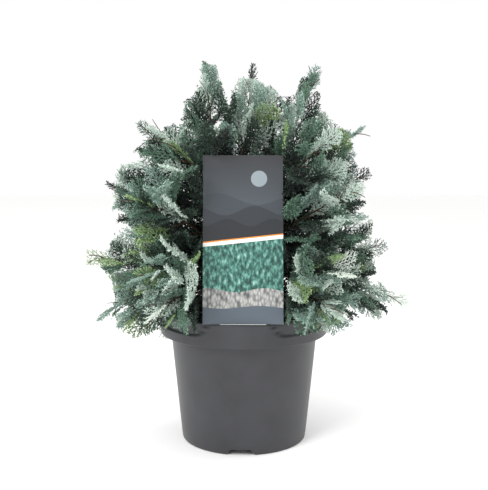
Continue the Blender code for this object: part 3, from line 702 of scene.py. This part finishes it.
def make_bark(limbs):
    low = SOIL_TOP + 0.3 * MM
    rises = [(i / TRUNK_RINGS) ** RING_CROWDING for i in range(TRUNK_RINGS + 1)]
    heights = [low + (TRUNK_TOP - low) * rise for rise in rises]
    trunk = stem_curve([trunk_axis(h) for h in heights], [trunk_radius(h) for h in heights], 6)
    roughen(trunk, TRUNK_RELIEF, TRUNK_SHREDS)
    stems = [trunk]
    for limb in limbs:
        if not limb.bough_share:
            continue
        along = [i / BOUGH_RINGS for i in range(BOUGH_RINGS + 1)]
        radii = [BOUGH_RADIUS + (BOUGH_TIP_RADIUS - BOUGH_RADIUS) * s for s in along]
        bough = stem_curve([limb.at(limb.bough_share * s) for s in along], radii, 2)
        roughen(bough, BOUGH_RELIEF, BOUGH_SHREDS)
        stems.append(bough)
    wood = join(stems)
    take(wood)
    bpy.ops.object.shade_smooth_by_angle(angle=BARK_SMOOTH)
    nodes = ["trunk"] + [f"bough_{limb.name}" for limb in limbs if limb.bough_share]
    register(wood, "trunk_and_boughs", "bark", nodes, bark())


# Foliage

FORWARD, FACE = np.array((1.0, 0, 0)), np.array((0, 0, 1.0))


class Cord:
    """One cord of a spray: a slightly bowed line with scale leaves all along it."""

    def __init__(self, start, heading, length, lift, order):
        self.start, self.length, self.order = start, length, order
        self.heading = heading / np.linalg.norm(heading)
        self.bow = FORWARD * FORWARD_BOW + FACE * lift

    def at(self, s):
        return self.start + self.length * (self.heading * s + self.bow * s * s)

    def slope(self, s):
        line = self.heading + 2 * self.bow * s
        return line / np.linalg.norm(line)


def turned_in_plane(line, turn):
    c, s = math.cos(turn), math.sin(turn)
    return np.array((line[0] * c - line[1] * s, line[0] * s + line[1] * c, line[2]))


def spray_cords(rng):
    """The rib, its branchlets to both sides in turn, and the shoots of each."""
    rib = Cord(np.zeros(3), FORWARD, RIB_LENGTH, rng.uniform(-0.10, 0.02), 0)
    cords, count = [rib], int(RIB_LENGTH * 0.92 / BRANCHLET_STEP)
    for i in range(count):
        share, side = (i + 0.5) / count, 1 if i % 2 else -1
        length = BRANCHLET_LENGTH * math.sin(math.pi * (0.18 + 0.72 * share)) * rng.uniform(0.85, 1.1)
        heading = turned_in_plane(rib.slope(share), side * math.radians(rng.uniform(*BRANCHLET_ANGLES)))
        base = rib.at(BRANCHLETS_FROM + BRANCHLETS_SPAN * share)
        branchlet = Cord(base, heading, length, rng.uniform(-0.12, 0.22), 1)
        cords.append(branchlet)
        for k, at in enumerate(SHOOT_PLACES):
            reach = length * (0.62 - 0.45 * at) * rng.uniform(0.9, 1.2)
            if reach < SHORTEST_SHOOT:
                continue
            turn = (1 if k % 2 else -1) * side * math.radians(rng.uniform(*SHOOT_ANGLES))
            heading = turned_in_plane(branchlet.slope(at), turn)
            cords.append(Cord(branchlet.at(at), heading, reach, rng.uniform(-0.1, 0.25), 2))
    return cords


def leaf_kite(cord, s, out, rng):
    """A leaf that leaves its cord at s towards out, as four corners."""
    along = cord.slope(s)
    lean = rng.uniform(*LEAF_LEANS)
    line = along * math.cos(lean) + out * math.sin(lean)
    across = np.cross(line, out)
    across /= np.linalg.norm(across)
    roll = rng.uniform(-LEAF_ROLL, LEAF_ROLL)
    wide = across * math.cos(roll) + np.cross(line, across) * math.sin(roll)
    length = LEAF_LENGTH * rng.uniform(0.8, 1.15)
    root = cord.at(s)
    middle = root + line * length * LEAF_WIDEST
    return [root, middle + wide * LEAF_HALF, root + line * length, middle - wide * LEAF_HALF]


def cord_prisms(points, radii):
    """Three-sided lengths of stem through the points, as blocks of six corners."""
    rings = []
    for i, point in enumerate(points):
        ahead = points[min(i + 1, len(points) - 1)] - points[max(i - 1, 0)]
        ahead = ahead / np.linalg.norm(ahead)
        side = np.cross(ahead, FACE if abs(ahead[2]) < 0.9 else FORWARD)
        side /= np.linalg.norm(side)
        other = np.cross(ahead, side)
        turns = [math.tau * k / 3 for k in range(3)]
        rings.append([point + (side * math.cos(a) + other * math.sin(a)) * radii[i] for a in turns])
    return [low + high for low, high in zip(rings, rings[1:])]


def make_template(seed):
    """One spray lying along +X with its face to +Z: (leaves, stems)."""
    rng = random.Random(seed)
    leaves, stems = [], []
    for cord in spray_cords(rng):
        pairs = max(int(cord.length / LEAF_STEP), 1)
        for i in range(pairs):
            s = (i + 0.6) / pairs
            lateral = np.cross(FACE, cord.slope(s))
            lateral /= np.linalg.norm(lateral)
            out = lateral if (i + cord.order) % 2 else np.cross(cord.slope(s), lateral)
            leaves.append(leaf_kite(cord, s, out, rng))
            leaves.append(leaf_kite(cord, s, -out, rng))
        steps = 3 if cord.order == 0 else 1
        radius = CORD_RADII[cord.order]
        points = [cord.at(i / steps) for i in range(steps + 1)]
        stems += cord_prisms(points, [radius * (1 - 0.5 * i / steps) for i in range(steps + 1)])
    return np.array(leaves), np.array(stems)


def crown_reach(spots):
    """How far out the foliage may stand at each spot, in metres from the trunk."""
    x, height = spots[..., 0], spots[..., 2] / MM
    left = np.interp(height, REACH_HEIGHTS, REACH_LEFT)
    right = np.interp(height, REACH_HEIGHTS, REACH_RIGHT)
    side = np.where(x < 0, left, right)
    depth = np.minimum(DEPTH_REACH, (left + right) / 2)
    out = np.hypot(x, spots[..., 1]) + 1e-9
    share = (x / out) ** 2
    return (side * share + depth * (1 - share)) * MM


def crown_top(spots):
    """How high the foliage may stand at each spot, falling away to the front and back."""
    y = spots[..., 1] / MM
    return (np.interp(spots[..., 0] / MM, TOP_PLACES, TOP_HEIGHTS) - TOP_FALL * y * y) * MM


TO_LABEL = np.array(label_matrix().inverted())


def blocked(spots, free_tip):
    """Which spots lie in the pot, at or before the label, outside the crown or outside the box."""
    out = np.hypot(spots[:, 0], spots[:, 1])
    low = spots[:, 2] < POT_HEIGHT + MM
    in_pot = (out < RIM_RADIUS + 1.5 * MM) & low
    in_pot &= ~((out < WALL_RADIUS_AT_LIP - 3.4 * MM) & (spots[:, 2] > SOIL_TOP + 2 * MM))
    local = spots @ TO_LABEL[:3, :3].T + TO_LABEL[:3, 3]
    at_label = (np.abs(local[:, 0]) < LABEL_WIDTH / 2 + MM) & (local[:, 1] < 2 * MM)
    at_label &= local[:, 2] < LABEL_HEIGHT + 2 * MM
    low_corner, high_corner = np.array(cad_low) - BOX_MARGIN, np.array(cad_high) + BOX_MARGIN
    stopped = in_pot | at_label | ((spots < low_corner) | (spots > high_corner)).any(axis=1)
    if not free_tip:
        lowest = np.interp(spots[:, 1] / MM, *zip(FRONT_FOOT, BACK_FOOT)) * MM
        stopped |= (out > crown_reach(spots)) | (spots[:, 2] > crown_top(spots)) | (spots[:, 2] < lowest)
    return stopped


class Crown:
    """Everything grown so far: leaves and stems as blocks of corners, each with its colour."""

    def __init__(self):
        self.templates = [make_template(50 + i) for i in range(TEMPLATES)]
        self.rng = random.Random(21)
        self.leaves, self.leaf_colours = [], []
        self.stems, self.stem_colours = [], []
        self.twigs = []

    def colour(self, base):
        """A leaf colour for a spray at this place: pale outside, partly waxy bloom and partly painted
        highlight, and near black inside as painted shade.
        """
        spot = np.array([tuple(base)])
        out = math.hypot(base.x, base.y) / crown_reach(spot)[0]
        up = (base.z - CROWN_HEART) / max(crown_top(spot)[0] - CROWN_HEART, MM)
        outer = max(out, up)
        # Painted shade inward and painted highlight outward: the deal darkens with depth in the crown.
        deal = OUTER if outer > OUTER_FROM else MIDDLE if outer > MIDDLE_FROM else INNER
        name = self.rng.choices(list(deal), list(deal.values()))[0]
        return list(LEAF_COLOURS).index(name)

    def spray(self, base, heading, face, scale, free_tip=False):
        """Sets a spray at its first size that fits, without the leaves that would be blocked."""
        x = heading.normalized()
        y = face.cross(x)
        y = y.normalized() if y.length > 0.05 else x.orthogonal().normalized()
        turn = np.array(Matrix((x, y, x.cross(y))).transposed())
        leaves, stems = self.rng.choice(self.templates)
        colour = self.colour(base)
        for share in SPRAY_SCALES:
            grown = (leaves * scale * share) @ turn.T + np.array(base)
            stopped = blocked(grown[:, 2], free_tip)
            if stopped.mean() <= BLOCKED_SHARE:
                break
        else:
            return
        lengths = (stems * scale * share) @ turn.T + np.array(base)
        kept = lengths[~blocked(lengths[:, 3], free_tip) & ~blocked(lengths[:, 0], free_tip)]
        self.leaves.append(grown[~stopped])
        self.leaf_colours.append(np.full(int((~stopped).sum()), colour))
        self.stems.append(kept)
        self.stem_colours.append(np.full(len(kept), colour))

    def twig(self, points, thick, thin):
        """Sets a tapering twig through the points, apart from what would cross pot or label."""
        radii = np.linspace(thick, thin, len(points))
        prisms = np.array(cord_prisms([np.array(p) for p in points], radii))
        keep = ~(blocked(prisms[:, 0], True) | blocked(prisms[:, 3], True))
        self.twigs.append(prisms[keep])


def spray_face(out, rng):
    """Sprays lie mostly level and turn their face up and out."""
    loose = Vector((rng.uniform(-1, 1), rng.uniform(-1, 1), rng.uniform(-1, 1)))
    return out * 0.7 + Vector((0, 0, 0.6)) + loose * 0.8


def grow_stem(limb, crown):
    """The stem of a mass, on from its bough's tip."""
    start = max(limb.bough_share, 0.02)
    shares = [start + (STEM_END - start) * i / STEM_STEPS for i in range(STEM_STEPS + 1)]
    crown.twig([limb.at(t) for t in shares], BOUGH_TIP_RADIUS, STEM_TIP_RADIUS)


def grow_tip(limb, crown):
    """A spray that ends the limb, with one more to each side."""
    end = limb.at(TIP_FROM)
    for turn in (0, SIDE_TIP_TURN, -SIDE_TIP_TURN):
        base = limb.at(SIDE_TIP_FROM) if turn else end
        line = Matrix.Rotation(turn, 3, Vector((0, 0, 1))) @ (limb.tip - end).normalized()
        out = Vector((base.x, base.y, 0)).normalized()
        scale = SIDE_TIP_SIZE if turn else (limb.tip - end).length / RIB_LENGTH * 1.15
        face = spray_face(out, crown.rng)
        crown.spray(base, line, face, min(max(scale, SIDE_TIP_SIZE), 1.0), not turn)


def grow_limb(limb, crown):
    """Stem, twigs round it by the golden angle, the sprays of each, and the tip."""
    rng = crown.rng
    roll = rng.uniform(0, math.tau)
    grow_stem(limb, crown)
    for i in range(TWIGS_PER_LIMB):
        t = TWIG_FIRST + TWIG_SPAN * i / (TWIGS_PER_LIMB - 1)
        ahead, root = limb.slope(t), limb.at(t)
        level = ahead.cross(Vector((0, 0, 1)))
        level = level.normalized() if level.length > 0.1 else Vector((1, 0, 0))
        up = level.cross(ahead).normalized()
        side = level * math.cos(roll) + up * math.sin(roll)
        roll += GOLDEN_ANGLE + rng.uniform(-0.3, 0.3)
        lean = TWIG_LEAN - LEAN_LOST * t + rng.uniform(-0.1, 0.1)
        heading = (ahead * math.cos(lean) + side * math.sin(lean)).normalized()
        length = TWIG_LENGTH * (TWIG_LONGEST - LENGTH_LOST * t) * rng.uniform(0.85, 1.15)
        sag = rng.uniform(*TWIG_SAGS) * length
        points = [root + heading * length * s - Vector((0, 0, sag * s * s)) for s in TWIG_POINTS]
        crown.twig(points, TWIG_RADIUS, TWIG_TIP_RADIUS)
        for k, station in enumerate(STATIONS_ON_TWIG):
            base = root + heading * length * station - Vector((0, 0, sag * station**2))
            turn = rng.uniform(*SPRAY_TURNS) * (1 if k % 2 else -1) * (station < 1)
            onward = Matrix.Rotation(turn, 3, up) @ (heading + ahead * 0.5)
            out = Vector((base.x, base.y, 0)).normalized()
            crown.spray(base, onward, spray_face(out, rng), rng.uniform(*SPRAY_SIZES))
    grow_tip(limb, crown)


def block_mesh(name, blocks, pattern, colours, materials):
    """One mesh of many like blocks of corners, each with the same pattern of quads."""
    count, corners = blocks.shape[:2]
    quads = (np.arange(count)[:, None, None] * corners + np.array(pattern)[None]).reshape(-1)
    mesh = bpy.data.meshes.new(name)
    for finish in materials:
        mesh.materials.append(finish)
    mesh.vertices.add(count * corners)
    mesh.vertices.foreach_set("co", blocks.astype(np.float32).ravel())
    mesh.loops.add(len(quads))
    mesh.loops.foreach_set("vertex_index", quads.astype(np.int32))
    mesh.polygons.add(len(quads) // 4)
    mesh.polygons.foreach_set("loop_start", np.arange(0, len(quads), 4, dtype=np.int32))
    mesh.polygons.foreach_set("material_index", np.repeat(colours, len(pattern)).astype(np.int32))
    mesh.update(calc_edges=True)
    mesh.validate()
    obj = bpy.data.objects.new(name, mesh)
    bpy.context.scene.collection.objects.link(obj)
    return obj


def block_pieces(name, slot, nodes, blocks, pattern, colours, materials):
    """The blocks as pieces of no more than PIECE_TRIANGLES triangles each."""
    most = PIECE_TRIANGLES // (2 * len(pattern))
    for i in range(0, len(blocks), most):
        part = slice(i, i + most)
        number = f"{name}_{i // most + 1}"
        piece = block_mesh(number, blocks[part], pattern, colours[part], materials)
        register(piece, number, slot, nodes)


KITE = ((0, 1, 2, 3),)
PRISM = ((0, 1, 4, 3), (1, 2, 5, 4), (2, 0, 3, 5))


def leaf_materials():
    """Waxy scale leaves: one plain colour a spray, from the bloom and painted highlight outside to the
    painted shade inside.
    """
    return [new_material(f"leaf_{name}", 0.55, code)[0] for name, code in LEAF_COLOURS.items()]


def make_foliage(limbs):
    crown = Crown()
    for limb in limbs:
        grow_limb(limb, crown)
    nodes = [f"foliage_{limb.name}" for limb in limbs]
    leaves, colours = np.concatenate(crown.leaves), np.concatenate(crown.leaf_colours)
    finishes = leaf_materials()
    block_pieces("leaves", "foliage", nodes, leaves, KITE, colours, finishes)
    stems, shades = np.concatenate(crown.stems), np.concatenate(crown.stem_colours)
    block_pieces("cords", "foliage", nodes, stems, PRISM, shades, finishes)
    twigs = np.concatenate(crown.twigs)
    brown = new_material("twig_bark", 0.8, "#4A3A2A")[0]
    block_pieces("twigs", "foliage", nodes, twigs, PRISM, np.zeros(len(twigs)), [brown])


# Studio

def area_light(name, place, size, watts):
    light = bpy.data.lights.new(name, "AREA")
    light.size, light.energy = size, watts
    obj = bpy.data.objects.new(name, light)
    obj.location = place
    aim = LIGHT_AIM - Vector(place)
    obj.rotation_euler = aim.to_track_quat("-Z", "Y").to_euler()
    bpy.context.scene.collection.objects.link(obj)


def make_studio():
    world = bpy.data.worlds.new("white_studio")
    world.use_nodes = True
    backdrop = world.node_tree.nodes["Background"]
    backdrop.inputs["Color"].default_value = (1, 1, 1, 1)
    backdrop.inputs["Strength"].default_value = 1.0
    bpy.context.scene.world = world
    deselect()
    bpy.ops.mesh.primitive_plane_add(size=FLOOR_SIZE)
    floor = bpy.context.object
    floor.name = "floor"
    floor.data.materials.append(new_material("studio_paper", 0.9, "#FBFBFA")[0])
    area_light("key", *KEY_LIGHT)
    area_light("fill", *FILL_LIGHT)
    bpy.context.scene.view_settings.view_transform = "Standard"


def make_camera():
    """The photograph's view, fitted from the ellipses of the pot's rim and foot."""
    data = bpy.data.cameras.new("camera")
    data.lens, data.sensor_width = CAMERA_LENS, CAMERA_SENSOR
    camera = bpy.data.objects.new("camera", data)
    camera.location = CAMERA_PLACE
    camera.rotation_euler = (math.pi / 2 - CAMERA_DIP, 0, 0)
    bpy.context.scene.collection.objects.link(camera)
    bpy.context.scene.camera = camera


limbs = tier_limbs() + leader_limbs()
make_pot()
make_soil()
make_label()
make_bark(limbs)
make_foliage(limbs)
make_studio()
make_camera()
